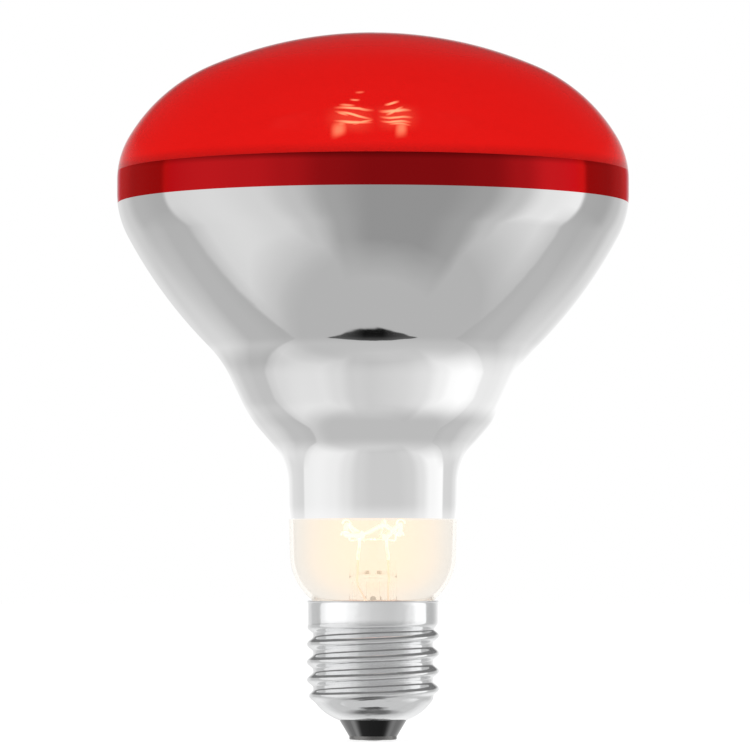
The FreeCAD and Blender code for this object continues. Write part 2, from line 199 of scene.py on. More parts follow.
def colour_mix(tree_nodes, links, factor, first, second):
    """The first colour where factor is 0, the second where it is 1."""
    mix = tree_nodes.new("ShaderNodeMix")
    mix.data_type = "RGBA"
    mix.inputs["A"].default_value = first
    mix.inputs["B"].default_value = second
    links.new(factor, mix.inputs["Factor"])
    return mix.outputs["Result"]


def place_on_piece(tree_nodes, links, scale=1.0):
    """X, Y and Z on the piece as sockets, in metres times scale, and the whole vector."""
    where = tree_nodes.new("ShaderNodeTexCoord")
    scaled = tree_nodes.new("ShaderNodeVectorMath")
    scaled.operation = "SCALE"
    scaled.inputs["Scale"].default_value = scale
    links.new(where.outputs["Object"], scaled.inputs[0])
    parts = tree_nodes.new("ShaderNodeSeparateXYZ")
    links.new(scaled.outputs[0], parts.inputs[0])
    return parts.outputs["X"], parts.outputs["Y"], parts.outputs["Z"], scaled.outputs[0]


def facing(tree_nodes, links):
    """0 where the surface faces the viewer, 1 where it is seen edge on."""
    weight = tree_nodes.new("ShaderNodeLayerWeight")
    weight.inputs["Blend"].default_value = 0.5
    return weight.outputs["Facing"]


# %% [markdown]
# ## The blown bulb
# The real bulb is one piece of blown glass. Its inside is silvered from the neck to just past the widest
# ring, and red lacquer covers the front, so there are four zones: clear, silver, red over silver, red alone.
# Silver behind glass could be made as a mirror on the inner wall, but every ray would then have to find
# its way through the glass twice, which is noisy, and a viewer without refraction would lose the mirror.
# So the outer wall itself is the mirror there, under a clear coat that stands for the glass in front of it.

# %% The red lacquer
# The lacquer carries painted light: a faint red glow all over, for the coil's light shining through it.
RED = (0.77, 0.010, 0.008, 1)
SHADED_RED = (0.42, 0.008, 0.007, 1)
RED_PAINTED_GLOW = (0.03, 0.0006, 0.0006, 1)
PEACH_PAINTED_GLOW = (1.0, 0.5, 0.25, 1)
red_glass, n, l, red_shader = new_material(
    "red_glass", Base_Color=RED, Roughness=0.04, IOR=1.1, Transmission_Weight=0.6, Emission_Strength=1.0)

# %% The coil's image, painted as a glow on the front
# Each stroke is one bright wire of the coil's painted reflection: left and right ends in mm across, heights
# in mm there, half-width in mm, and how bright it is. The last ones are the wide painted glow under and
# around the two halves.
# The painted image shows on the side towards the camera only, and fades out between two places in Y, in mm.
WOBBLE_SCALE, WOBBLE = 0.22, 0.2
PAINTED_IMAGE_BACK = (-30.0, -20.0)
PAINTED_IMAGE_STROKES = [
    (-7.6, 0.1, 125.3, 124.7, 0.11, 0.9), (-7.6, -0.1, 124.5, 123.0, 0.11, 1.0),
    (-7.3, -4.6, 124.4, 123.5, 0.10, 0.7), (-7.8, -0.1, 122.6, 122.2, 0.11, 1.0),
    (-4.6, -2.5, 126.8, 126.9, 0.10, 0.6), (-6.7, -3.4, 125.8, 125.5, 0.10, 0.6),
    (-4.2, 0.1, 122.0, 122.8, 0.10, 0.8), (-3.6, -1.6, 128.6, 128.7, 0.10, 0.3),
    (1.1, 7.6, 124.6, 124.7, 0.13, 1.0), (2.2, 5.2, 125.9, 126.6, 0.11, 0.9),
    (1.2, 7.9, 123.4, 123.2, 0.11, 0.9), (2.4, 6.0, 123.9, 125.3, 0.13, 1.0),
    (1.4, 7.6, 122.5, 122.3, 0.11, 0.9), (2.8, 7.5, 122.1, 121.7, 0.11, 0.7),
    (-8.4, -4.9, 120.6, 121.4, 0.6, 0.45), (4.2, 6.9, 120.7, 121.1, 0.65, 0.45),
    (-7.4, -5.0, 121.6, 122.4, 0.25, 0.4),
    (-9.5, 0.8, 123.0, 122.6, 1.0, 0.08), (0.2, 9.2, 123.2, 123.2, 1.0, 0.08),
]


def stroke_mask(tree_nodes, links, x, z, stroke):
    """1 on a short bright line, falling softly to 0 beside it and at its ends."""
    left, right, left_z, right_z, half, bright = stroke
    slope = (right_z - left_z) / (right - left)
    line_z = math_node(tree_nodes, links, "MULTIPLY_ADD", x, slope)
    line_z.node.inputs[2].default_value = left_z - slope * left
    off = math_node(tree_nodes, links, "ABSOLUTE", math_node(tree_nodes, links, "SUBTRACT", z, line_z))
    beside = spread(tree_nodes, links, off, bright, 0.0, half * 0.3, half * 3.4, soft=True)
    from_middle = math_node(tree_nodes, links, "SUBTRACT", x, (left + right) / 2)
    along = math_node(tree_nodes, links, "ABSOLUTE", from_middle)
    length = (right - left) / 2
    ends = spread(tree_nodes, links, along, 1.0, 0.0, length * 0.1, length * 1.15, soft=True)
    return math_node(tree_nodes, links, "MULTIPLY", beside, ends)


x, y, z, in_mm = place_on_piece(n, l, 1 / MM)
wobble = n.new("ShaderNodeTexNoise")
wobble.inputs["Scale"].default_value = WOBBLE_SCALE
wobble.inputs["Detail"].default_value = 1.0
l.new(in_mm, wobble.inputs["Vector"])
wavy_z = math_node(n, l, "ADD", z, spread(n, l, wobble.outputs["Fac"], -WOBBLE, WOBBLE))
image = 0.0
for stroke in PAINTED_IMAGE_STROKES:
    image = math_node(n, l, "MAXIMUM", stroke_mask(n, l, x, wavy_z, stroke), image)
painted_image_front = spread(n, l, y, 1.0, 0.0, *PAINTED_IMAGE_BACK)
# The strokes are painted light: a peach glow on the lacquer standing for the coil's reflection in the bowl.
painted_glow = colour_mix(n, l, math_node(n, l, "MULTIPLY", image, painted_image_front), RED_PAINTED_GLOW, PEACH_PAINTED_GLOW)
l.new(painted_glow, red_shader.inputs["Emission Color"])
print("strokes in the coil's image:", len(PAINTED_IMAGE_STROKES))

# %% Painted shade: the lacquer is painted darker where the silver ends behind it and keeps the coil's light out
SILVER_FADE = (116.2, 118.4)
past_silver = spread(n, l, z, 0.0, 1.0, *SILVER_FADE)
l.new(colour_mix(n, l, past_silver, SHADED_RED, RED), red_shader.inputs["Base Color"])

# %% Red over silver
red_silver, n, l, red_silver_shader = new_material(
    "red_over_silver", Base_Color=(0.60, 0.007, 0.010, 1), Metallic=1.0, Roughness=0.08,
    Coat_Weight=0.1, Coat_Roughness=0.03, Coat_IOR=1.5, Specular_Tint=(0.8, 0.06, 0.1, 1))

# %% Silver whose reflection and painted glow change with height
# Height in mm, share of light reflected, and a painted glow for the lamp's own light coming through, from the
# neck up.
SILVER_COAT = [
    (45.0, 0.35, 0.64), (48.5, 0.60, 0.39), (58.0, 0.60, 0.39), (61.5, 0.75, 0.10), (64.5, 0.75, 0.10),
    (68.0, 0.60, 0.38), (73.5, 0.60, 0.38), (79.6, 0.74, 0.12), (81.3, 0.84, 0.0),
]
SILVER_TOP = 120.0
silver, n, l, silver_shader = new_material(
    "silvered_glass", Metallic=1.0, Roughness=0.05, Emission_Strength=1.0,
    Coat_Weight=0.3, Coat_Roughness=0.02, Coat_IOR=1.5)
l.new(spread(n, l, object_noise(n, l, 26.0), 0.012, 0.045), silver_shader.inputs["Roughness"])
bump(n, l, silver_shader, object_noise(n, l, 85.0), 0.00006, 0.6)

x, y, z, in_mm = place_on_piece(n, l, 1 / MM)
height = math_node(n, l, "DIVIDE", z, SILVER_TOP)
share_stops = [(level / SILVER_TOP, share) for level, share, painted_glow in SILVER_COAT]
painted_glow_stops = [(level / SILVER_TOP, painted_glow) for level, share, painted_glow in SILVER_COAT]
l.new(grey_stops(n, l, height, share_stops), silver_shader.inputs["Base Color"])

# %% Painted light on the hip: its painted glow is a little weaker on the left and stronger on the right
HIP = [(64.5, 0.0), (69.0, 1.0), (76.0, 1.0), (80.0, 0.0)]
LEFT_LESS, RIGHT_MORE = -0.17, 0.14
HIP_LIGHT_FROM, HIP_LIGHT_TO = -18.0, 12.0
hip = grey_stops(n, l, height, [(level / SILVER_TOP, amount) for level, amount in HIP])
hip_light_shift = spread(n, l, x, LEFT_LESS, RIGHT_MORE, HIP_LIGHT_FROM, HIP_LIGHT_TO)
painted_glow = math_node(n, l, "ADD", grey_stops(n, l, height, painted_glow_stops), math_node(n, l, "MULTIPLY", hip, hip_light_shift))
l.new(painted_glow, silver_shader.inputs["Emission Color"])
print("silver coat described at", len(SILVER_COAT), "heights")

# %% [markdown]
# The clear neck is lit from inside, so it looks like warm mist, and only its rim looks like glass.
# Real mist would need a volume. A faint glow painted on the glass does the same: warm where the glass faces
# us, paler towards its sides, and at the very edge a little less clear, so that the outline stays visible.

# %% Clear glass, in the neck and inside the red front
NECK_GLOW_MIDDLE, NECK_GLOW_SIDE = (1.0, 0.79, 0.57, 1), (0.70, 0.68, 0.65, 1)
NECK_GLOW_STRENGTH, EDGE_GLOW, EDGE_CLEARNESS = 0.26, 0.16, 0.8
clear_glass, n, l, clear_shader = new_material(
    "clear_glass", Base_Color=(0.61, 0.59, 0.56, 1), Roughness=0.0, IOR=1.12)
aslant = facing(n, l)
painted_neck_glow = colour_mix(n, l, spread(n, l, aslant, 0.0, 1.0, 0.05, 0.5), NECK_GLOW_MIDDLE, NECK_GLOW_SIDE)
l.new(painted_neck_glow, clear_shader.inputs["Emission Color"])
strength = spread(n, l, aslant, NECK_GLOW_STRENGTH, EDGE_GLOW, 0.6, 0.85, soft=True)
l.new(strength, clear_shader.inputs["Emission Strength"])
clearness = spread(n, l, aslant, 1.0, EDGE_CLEARNESS, 0.7, 0.95, soft=True)
l.new(clearness, clear_shader.inputs["Transmission Weight"])
inner_glass, n, l, inner_shader = new_material(
    "inner_glass", Base_Color=(1, 1, 1, 1), Roughness=0.0, IOR=1.3, Transmission_Weight=1.0)

# %% [markdown]
# The outline is the one that the CAD model is turned from: three tangent arcs over the front,
# and below the widest ring a row of corners, each rounded with its own radius.

# %% Turn the bulb
WIDEST = (52.45, 114.75)
FRONT_HEIGHT = 30.1
CROWN_RADIUS = 84.5
CROWN_ANGLE = math.radians(23.75)
SHOULDER_ANGLE = math.radians(59.5)
GLASS_WALL = 0.8
BULB_CORNERS = [(52.45, 107.33), (43.65, 90.95), (30.9, 77.95), (25.25, 66.1), (17.5, 57.2),
                (16.9, 32.9), (11.0, 27.3), (11.0, 24.2)]
BULB_ROUNDS = [18.5, 96.0, 23.0, 27.0, 12.4, 12.0, 1.6]
CROWN_STEPS, SHOULDER_STEPS, EDGE_STEPS = 16, 22, 18
BULB_SEGMENTS = 160
SILVER_LOW, RED_LOW, SILVER_HIGH = 45.3, 109.9, 116.4


def front_radii():
    """Shoulder and edge radii that cover the width and height left by the crown."""
    s1, c1 = math.sin(CROWN_ANGLE), math.cos(CROWN_ANGLE)
    s2, c2 = math.sin(SHOULDER_ANGLE), math.cos(SHOULDER_ANGLE)
    width = WIDEST[0] - CROWN_RADIUS * s1
    height = FRONT_HEIGHT - CROWN_RADIUS * (1 - c1)
    whole = (s2 - s1) * c2 - (1 - s2) * (c1 - c2)
    return (width * c2 - height * (1 - s2)) / whole, (height * (s2 - s1) - width * (c1 - c2)) / whole


def front_line(bm):
    """Crown, shoulder and edge arcs, from the axis to the widest ring."""
    shoulder, edge = front_radii()
    apex_z = WIDEST[1] + FRONT_HEIGHT
    crown_centre = point(0, apex_z - CROWN_RADIUS)
    lean = Vector((math.sin(CROWN_ANGLE), 0, math.cos(CROWN_ANGLE)))
    vert = bm.verts.new(point(0, apex_z))
    vert = arc_about(bm, vert, crown_centre, CROWN_ANGLE, CROWN_STEPS)
    vert = arc_about(bm, vert, crown_centre + lean * (CROWN_RADIUS - shoulder) * MM,
                     SHOULDER_ANGLE - CROWN_ANGLE, SHOULDER_STEPS)
    edge_centre = point(WIDEST[0] - edge, WIDEST[1])
    return arc_about(bm, vert, edge_centre, math.pi / 2 - SHOULDER_ANGLE, EDGE_STEPS)


def cut_level(bm, z):
    """Cuts every face at a height, so that a finish can end there."""
    bmesh.ops.bisect_plane(bm, geom=bm.verts[:] + bm.edges[:] + bm.faces[:], dist=1e-7,
                           plane_co=(0, 0, z * MM), plane_no=(0, 0, 1))


bm = bmesh.new()
rounded_line(bm, front_line(bm), BULB_CORNERS, BULB_ROUNDS)
turned(bm, BULB_SEGMENTS)
for level in (SILVER_LOW, RED_LOW, SILVER_HIGH):
    cut_level(bm, level)
BULB_FINISHES = [clear_glass, silver, red_silver, red_glass, inner_glass]
CLEAR, SILVER, RED_ON_SILVER, RED_ONLY, INSIDE_OF_RED = range(len(BULB_FINISHES))
ZONES = [(SILVER_LOW, CLEAR), (RED_LOW, SILVER), (SILVER_HIGH, RED_ON_SILVER), (math.inf, RED_ONLY)]
for face in bm.faces:
    height = face.calc_center_median().z / MM
    face.material_index = next(finish for top, finish in ZONES if height < top)

# %% Give the bulb its wall, and its inner side a finish of its own
BULB_MIDDLE = point(0, 100)
bmesh.ops.solidify(bm, geom=bm.faces[:], thickness=GLASS_WALL * MM)
INNER_FINISH = {RED_ON_SILVER: SILVER, RED_ONLY: INSIDE_OF_RED}
for face in bm.faces:
    if face.normal.dot(face.calc_center_median() - BULB_MIDDLE) < 0:
        face.material_index = INNER_FINISH.get(face.material_index, face.material_index)

lamp_bulb = piece_from(bm, "lamp_bulb", BULB_FINISHES)
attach(lamp_bulb, "root")
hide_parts("glass_bulb")

# %% [markdown]
# ## The rolled cap
# The cap is a sleeve of thin bright sheet, with the lamp thread rolled into it: round valleys, narrow crests.
# The CAD model shows it in flat facets to stay light. A modifier could smooth those, but it would also
# round the crests away. A fresh sleeve is spun with many rings, and its points are pushed in and out by the
# same wave that shaped the facets, so the crests run up in one true right-hand screw line.

# %% Finish of the cap
cap_metal, n, l, cap_shader = new_material(
    "bright_cap_metal", Base_Color=(0.93, 0.935, 0.94, 1), Metallic=0.95, Roughness=0.1,
    Emission_Strength=1.0)
drawn_lines = object_noise(n, l, 900.0, stretch=(0.12, 0.12, 1.0), detail=2.0)
l.new(spread(n, l, drawn_lines, 0.04, 0.12), cap_shader.inputs["Roughness"])
dents = object_noise(n, l, 240.0, stretch=(1, 1, 1.6), detail=2.0)
bump(n, l, cap_shader, dents, 0.00012, 0.8)

# %% Painted light: a glow on the collar for the lit neck's light falling down on it
# Heights and sides are in mm. The painted light is stronger on the left and fades before both sides of the
# collar; a faint painted glow covers the whole cap.
COLLAR_START, COLLAR_LIT, LIT_TO, LIT_END = 23.5, 25.0, 28.1, 28.4
SIDE_LIT, SIDE_DARK = 8.5, 11.5
LIGHT_LEFT, LIGHT_RIGHT, LIGHT_ALL_OVER = 0.27, 0.17, 0.02
x, y, z, in_mm = place_on_piece(n, l, 1 / MM)
on_collar = math_node(n, l, "MULTIPLY", spread(n, l, z, 0.0, 1.0, COLLAR_START, COLLAR_LIT, soft=True),
                      spread(n, l, z, 1.0, 0.0, LIT_TO, LIT_END))
off_axis = math_node(n, l, "ABSOLUTE", x)
across = math_node(n, l, "MULTIPLY", spread(n, l, off_axis, 1.0, 0.0, SIDE_LIT, SIDE_DARK, soft=True),
                   spread(n, l, x, LIGHT_LEFT, LIGHT_RIGHT, -4.0, 4.0, soft=True))
painted_collar_light = math_node(n, l, "MULTIPLY_ADD", on_collar, across)
painted_collar_light.node.inputs[2].default_value = LIGHT_ALL_OVER
l.new(painted_collar_light, cap_shader.inputs["Emission Color"])

# %% Spin and roll the sleeve
SHEET = 0.3
THREAD_MAJOR, THREAD_MINOR, THREAD_PITCH, CREST_Z = 13.2, 11.93, 3.629, 21.58
CREST_SHARPNESS = 0.12
COLLAR_RADIUS, RIM_Z, RIM_LIP_RADIUS, RIM_LIP_DEPTH = 12.95, 28.7, 13.2, 0.35
THREAD_TOP, RUNOUT, THREAD_BOTTOM, RUNIN = 24.4, 2.0, 7.8, 2.4
SLEEVE_RADIUS, SLEEVE_Z, HOLE_RADIUS, HOLE_Z, BOTTOM_ROUND = 12.45, 9.4, 7.1, 4.65, 10.0
CAP_SEGMENTS = 128
FOOT_RINGS, THREAD_RINGS, COLLAR_RINGS, LIP_RINGS = 20, 100, 4, 3
COLLAR_STEP = 0.05


def smooth_step(x, low, high):
    """Rises softly from 0 at low to 1 at high."""
    t = min(max((x - low) / (high - low), 0.0), 1.0)
    return t * t * (3 - 2 * t)


def rolled(angle, z, plain):
    """Radius of the sleeve at an angle and height, both ends of the thread faded out."""
    phase = math.tau * (z - CREST_Z) / THREAD_PITCH - angle
    mean = (THREAD_MAJOR + THREAD_MINOR) / 2 - CREST_SHARPNESS
    wave = mean + (THREAD_MAJOR - THREAD_MINOR) / 2 * math.cos(phase) + CREST_SHARPNESS * math.cos(2 * phase)
    radius = plain + smooth_step(z, THREAD_BOTTOM, THREAD_BOTTOM + RUNIN) * (wave - plain)
    return radius + smooth_step(z, THREAD_TOP - RUNOUT, THREAD_TOP) * (COLLAR_RADIUS - radius)


def bottom_arc(bm):
    """The rounded foot of the sleeve, from its hole up to the straight side."""
    low, high = point(HOLE_RADIUS, HOLE_Z), point(SLEEVE_RADIUS, SLEEVE_Z)
    chord = high - low
    back = math.sqrt((BOTTOM_ROUND * MM) ** 2 - (chord.length / 2) ** 2)
    centre = (low + high) / 2 + Vector((-chord.z, 0, chord.x)).normalized() * back
    angle = -2 * math.asin(chord.length / 2 / (BOTTOM_ROUND * MM))
    return arc_about(bm, bm.verts.new(low), centre, angle, FOOT_RINGS)


bm = bmesh.new()
vert = bottom_arc(bm)
vert = run_to(bm, vert, point(SLEEVE_RADIUS, THREAD_TOP), THREAD_RINGS)
vert = run_to(bm, vert, point(COLLAR_RADIUS, THREAD_TOP + COLLAR_STEP))
vert = run_to(bm, vert, point(COLLAR_RADIUS, RIM_Z - RIM_LIP_DEPTH), COLLAR_RINGS)
vert = run_to(bm, vert, point(RIM_LIP_RADIUS, RIM_Z), LIP_RINGS)
turned(bm, CAP_SEGMENTS)
for vert in bm.verts:
    z = vert.co.z / MM
    if THREAD_BOTTOM < z < THREAD_TOP + COLLAR_STEP / 2:
        flat = vert.co.to_2d()
        factor = rolled(math.atan2(flat.y, flat.x), z, flat.length / MM) / (flat.length / MM)
        vert.co.x *= factor
        vert.co.y *= factor
bmesh.ops.recalc_face_normals(bm, faces=bm.faces)
bmesh.ops.solidify(bm, geom=bm.faces[:], thickness=SHEET * MM)
rolled_cap = piece_from(bm, "rolled_cap", [cap_metal])
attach(rolled_cap, "root")
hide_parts("cap_shell")

# %% [markdown]
# ## The coiled filament
# The CAD model has a plain rod where the real lamp has a fine coil of tungsten wire.
# The coil is drawn as a curve that winds round the same zigzag line, and given a wire's thickness.
# It glows, so it is a light as well as a shape.

# %% The zigzag line of the filament
RING_RADIUS, COIL_RADIUS, LOW_Z, HIGH_Z, FILAMENT_ROUND = 6.0, 0.5, 42.0, 44.4, 0.9
SUPPORTS = 6
OPEN_ANGLE, END_ANGLE = 55.0, 270.0
COIL_PITCH, COIL_WIRE = 0.42, 0.11
COIL_POINTS = 14


def crown_corner(i):
    """Corner i of the crown: high at the odd ones, low at the even ones and at both ends."""
    low = i % 2 == 0 or i == SUPPORTS + 1
    angle = math.radians(END_ANGLE + OPEN_ANGLE / 2 + (360 - OPEN_ANGLE) * i / (SUPPORTS + 1))
    z = LOW_Z if low else HIGH_Z
    return Vector((RING_RADIUS * math.cos(angle), RING_RADIUS * math.sin(angle), z)) * MM


def crown_line(step):
    """Points along the zigzag, a step apart, with its corners rounded."""
    corners = [crown_corner(i) for i in range(SUPPORTS + 2)]
    line = [corners[0]]
    for before, corner, after in zip(corners, corners[1:], corners[2:]):
        back = (before - corner).normalized() * FILAMENT_ROUND * MM
        ahead = (after - corner).normalized() * FILAMENT_ROUND * MM
        for t in (0.0, 0.25, 0.5, 0.75, 1.0):
            line.append(corner + back * (1 - t) ** 2 + ahead * t ** 2)
    line.append(corners[-1])
    points = []
    for a, b in zip(line, line[1:]):
        count = max(1, round((b - a).length / step))
        points += [a.lerp(b, i / count) for i in range(count)]
    return points + [line[-1]]


# %% Wind the coil round it
def coil_points(line, radius, pitch):
    """Winds round the line, and keeps its side vectors from twisting."""
    points, travelled = [], 0.0
    side = Vector((0, 0, 1))
    for i, here in enumerate(line):
        ahead = (line[min(i + 1, len(line) - 1)] - line[max(i - 1, 0)]).normalized()
        side = (side - ahead * side.dot(ahead)).normalized()
        other = ahead.cross(side)
        if i:
            travelled += (here - line[i - 1]).length
        angle = math.tau * travelled / (pitch * MM)
        points.append(here + (side * math.cos(angle) + other * math.sin(angle)) * radius * MM)
    return points


glowing, n, l, glow_shader = new_material(
    "glowing_tungsten", Base_Color=(0.5, 0.45, 0.4, 1), Metallic=1.0, Roughness=0.4,
    Emission_Color=(1.0, 0.91, 0.64, 1), Emission_Strength=1.35)

line = crown_line(COIL_PITCH * MM / COIL_POINTS)
winding = coil_points(line, COIL_RADIUS - COIL_WIRE, COIL_PITCH)
curve = bpy.data.curves.new("coil_line", "CURVE")
curve.dimensions = "3D"
curve.bevel_depth = COIL_WIRE * MM
curve.bevel_resolution = 1
spline = curve.splines.new("POLY")
spline.points.add(len(winding) - 1)
for spot, place in zip(spline.points, winding):
    spot.co = (*place, 1)
coil_object = bpy.data.objects.new("coil_line", curve)
coil_mesh = bpy.data.meshes.new_from_object(coil_object)
bpy.data.objects.remove(coil_object)
coil_mesh.materials.clear()
bm = bmesh.new()
bm.from_mesh(coil_mesh)
coiled_filament = piece_from(bm, "coiled_filament", [glowing])
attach(coiled_filament, "root")
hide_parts("filament")

# %% [markdown]
# ## Materials for the parts that keep their CAD mesh
# The insulator is black moulded glass, the contact a tinned plate with a dome of solder,
# and the stem and wires inside the neck are clear glass, nickel, copper and molybdenum.

# %% Dress the CAD nodes
def dress(names, material):
    """Gives the CAD meshes with these names one material."""
    for name in names:
        node = nodes[name]
        node.data.materials.clear()
        node.data.materials.append(material)


# Black glass is near black where it faces us, and mirrors the room where it is seen aslant.
BLACK_FACING, BLACK_ASLANT = 0.03, 0.26
black_glass, n, l, s = new_material("black_moulded_glass", Metallic=1.0, Roughness=0.06)
l.new(spread(n, l, facing(n, l), BLACK_FACING, BLACK_ASLANT, 0.22, 0.34, soft=True), s.inputs["Base Color"])
dress(["cap_insulator"], black_glass)

tinned, n, l, s = new_material(
    "tinned_plate", Base_Color=(0.28, 0.275, 0.27, 1), Metallic=1.0, Roughness=0.28)
l.new(spread(n, l, object_noise(n, l, 700.0), 0.18, 0.42), s.inputs["Roughness"])
dress(["contact_plate"], tinned)

solder, n, l, s = new_material("soft_solder", Base_Color=(0.6, 0.6, 0.6, 1), Metallic=1.0, Roughness=0.3)
grain = object_noise(n, l, 1500.0)
l.new(spread(n, l, grain, 0.22, 0.5), s.inputs["Roughness"])
bump(n, l, s, grain, 0.00004, 0.5)
dress(["contact_solder", "rim_solder"], solder)

cement, n, l, s = new_material("cap_cement", Base_Color=(0.82, 0.79, 0.73, 1), Roughness=0.9)
bump(n, l, s, object_noise(n, l, 2500.0), 0.0001, 0.6)
dress(["cap_cement"], cement)

# %% Dress the mount inside the neck
# The wires stand close to the coil, so they are half metal and half its light, which is painted on them as a
# glow.
stem_glass, n, l, s = new_material(
    "stem_glass", Base_Color=(1.0, 0.99, 0.97, 1), Roughness=0.0, IOR=1.06, Transmission_Weight=1.0)
dress(["stem", "exhaust_tube", "support_rod"], stem_glass)

nickel, n, l, s = new_material(
    "nickel_wire", Base_Color=(0.9, 0.87, 0.8, 1), Metallic=0.5, Roughness=0.4,
    Emission_Color=(1.0, 0.93, 0.72, 1), Emission_Strength=0.8)
dress(["inner_lead_a", "inner_lead_b", "filament_clamp_a", "filament_clamp_b"], nickel)

copper, n, l, s = new_material(
    "copper_wire", Base_Color=(0.85, 0.62, 0.48, 1), Metallic=0.6, Roughness=0.35,
    Emission_Color=(1.0, 0.88, 0.7, 1), Emission_Strength=0.5)
dress(["contact_lead", "rim_lead", "seal_wire_a", "seal_wire_b"], copper)

molybdenum, n, l, s = new_material(
    "molybdenum_wire", Base_Color=(0.9, 0.88, 0.85, 1), Metallic=0.5, Roughness=0.4,
    Emission_Color=(1.0, 0.93, 0.72, 1), Emission_Strength=0.8)
dress(["support_wire_%d" % i for i in range(1, SUPPORTS + 1)], molybdenum)

# %% [markdown]
# ## Floor, light and camera
# The lamp stands on a plain white floor in a bright studio.
# The camera sees floor and backdrop as white. Two large soft lights stand left and right.

# %% Floor
FLOOR_SIZE = 40.0
FLOOR_GREY, FLOOR_LIFT = (0.35, 0.35, 0.35, 1), 0.8
bm = bmesh.new()
bmesh.ops.create_grid(bm, x_segments=1, y_segments=1, size=FLOOR_SIZE)
floor_paint = bpy.data.materials.new("floor_paint")
floor_paint.use_nodes = True
n, l = floor_paint.node_tree.nodes, floor_paint.node_tree.links
n.clear()
paint = n.new("ShaderNodeBsdfDiffuse")
paint.inputs["Color"].default_value = FLOOR_GREY
lift = n.new("ShaderNodeEmission")
lift.inputs["Strength"].default_value = FLOOR_LIFT
both = n.new("ShaderNodeAddShader")
out = n.new("ShaderNodeOutputMaterial")
l.new(paint.outputs[0], both.inputs[0])
l.new(lift.outputs[0], both.inputs[1])
l.new(both.outputs[0], out.inputs["Surface"])
floor = piece_from(bm, "floor", [floor_paint], smooth=False)
floor.visible_glossy = False
floor.visible_transmission = False

# %% [markdown]
# Bright metal has no look of its own: it shows the room. So the room is planned first.
# It has a grey wall behind the camera, a bright panel on each side, dark gaps at the back corners
# and a white wall behind the lamp. A ring of grey levels round the horizon draws that room,
# and only reflections see it. The camera, and what is seen through glass, get plain white.

# %% The walls, as a ring of greys
# Each stop is an angle round the room in degrees, 0 behind the camera and +90 on the right, and a grey level.
ROOM_WALLS = [
    (-180, 0.76), (-165, 0.78), (-150, 0.68), (-135, 0.52), (-110, 0.47), (-106, 0.77), (-80, 0.82),
    (-55, 0.76), (-38, 0.62), (-20, 0.42), (0, 0.34), (32, 0.34), (54, 0.40), (70, 0.60), (86, 0.90),
    (108, 1.0), (112, 0.46), (130, 0.44), (144, 0.58), (156, 0.76), (180, 0.95),
]
world = bpy.data.worlds.new("studio")
bpy.context.scene.world = world
world.use_nodes = True
n, l = world.node_tree.nodes, world.node_tree.links
n.clear()
look = n.new("ShaderNodeTexCoord")
axes = n.new("ShaderNodeSeparateXYZ")
l.new(look.outputs["Generated"], axes.inputs[0])
look_x, look_y, look_z = axes.outputs["X"], axes.outputs["Y"], axes.outputs["Z"]
angle = math_node(n, l, "ARCTAN2", look_x, math_node(n, l, "MULTIPLY", look_y, -1.0))
walls = grey_stops(n, l, spread(n, l, angle, 0.0, 1.0, -math.pi, math.pi),
                   [((degrees + 180) / 360, level) for degrees, level in ROOM_WALLS])
print("room walls drawn with", len(ROOM_WALLS), "stops")

# %% The floor of the room, and its back
# A look straight down has a depth of 1. Low down, the room ends in an even grey, sooner on the right.
LOW_GREY = 0.53
LOW_START, LOW_END, LOW_TILT = 0.54, 0.86, 0.1
BACK_GREY, BACK_WHITE = 0.54, 0.90
DEEP = (0.84, 0.93)


def blend_level(before, level, factor):
    """Changes the room to another grey, a number or a socket, where factor is 1."""
    mix = n.new("ShaderNodeMix")
    mix.data_type = "RGBA"
    if isinstance(level, float):
        mix.inputs["B"].default_value = (level, level, level, 1)
    else:
        l.new(level, mix.inputs["B"])
    l.new(factor, mix.inputs["Factor"])
    l.new(before, mix.inputs["A"])
    return mix.outputs["Result"]


depth = math_node(n, l, "MULTIPLY", look_z, -1.0)
tilted = math_node(n, l, "MULTIPLY_ADD", look_x, LOW_TILT)
l.new(depth, tilted.node.inputs[2])
room = math_node(n, l, "MINIMUM", walls, spread(n, l, tilted, 1.0, LOW_GREY, LOW_START, LOW_END))
behind = math_node(n, l, "MULTIPLY", spread(n, l, look_y, 0.0, 1.0, 0.1, 0.35),
                   spread(n, l, depth, 0.0, 1.0, 0.25, 0.55))
room = blend_level(room, spread(n, l, look_y, BACK_GREY, BACK_WHITE, 0.5, 0.85), behind)
room = blend_level(room, LOW_GREY, spread(n, l, depth, 0.0, 1.0, *DEEP))

# %% [markdown]
# Straight below the lamp stands something dark, and the bowl shows it as a black lens above its waist.
# Its edge towards the camera is a parabola in the look's X and Y, and its sides are greyer than its middle.
# A softer shade lies behind it, and only the rounded foot of the cap is curved enough to reflect that.

# %% The dark stand and its shade
STAND_FRONT, STAND_CURVE, STAND_SOFT = -0.119, 1.6, 0.006
STAND_BACK, STAND_SIDE = 0.24, 0.30
STAND_DARK, STAND_GREY = 0.008, 0.10
SHADE, SHADE_CURVE, SHADE_SIDE = 0.06, -1.1, 0.44
under_lamp = spread(n, l, depth, 0.0, 1.0, 0.5, 0.6)
sideways = math_node(n, l, "ABSOLUTE", look_x)
curved = math_node(n, l, "MULTIPLY", look_x, look_x)
edge = math_node(n, l, "MULTIPLY_ADD", curved, STAND_CURVE)
edge.node.inputs[2].default_value = STAND_FRONT
inside = spread(n, l, math_node(n, l, "SUBTRACT", look_y, edge), 0.0, 1.0, 0.0, STAND_SOFT)
faded = math_node(n, l, "MULTIPLY", spread(n, l, look_y, 1.0, 0.0, 0.0, STAND_BACK, soft=True),
                  spread(n, l, sideways, 1.0, 0.0, STAND_SIDE / 3, STAND_SIDE, soft=True))
near = math_node(n, l, "MAXIMUM", spread(n, l, look_y, 1.0, 0.0, 0.02, 0.03), faded)
stand = math_node(n, l, "MULTIPLY", math_node(n, l, "MULTIPLY", inside, near), under_lamp)
room = blend_level(room, spread(n, l, sideways, STAND_DARK, STAND_GREY, 0.06, 0.24), stand)

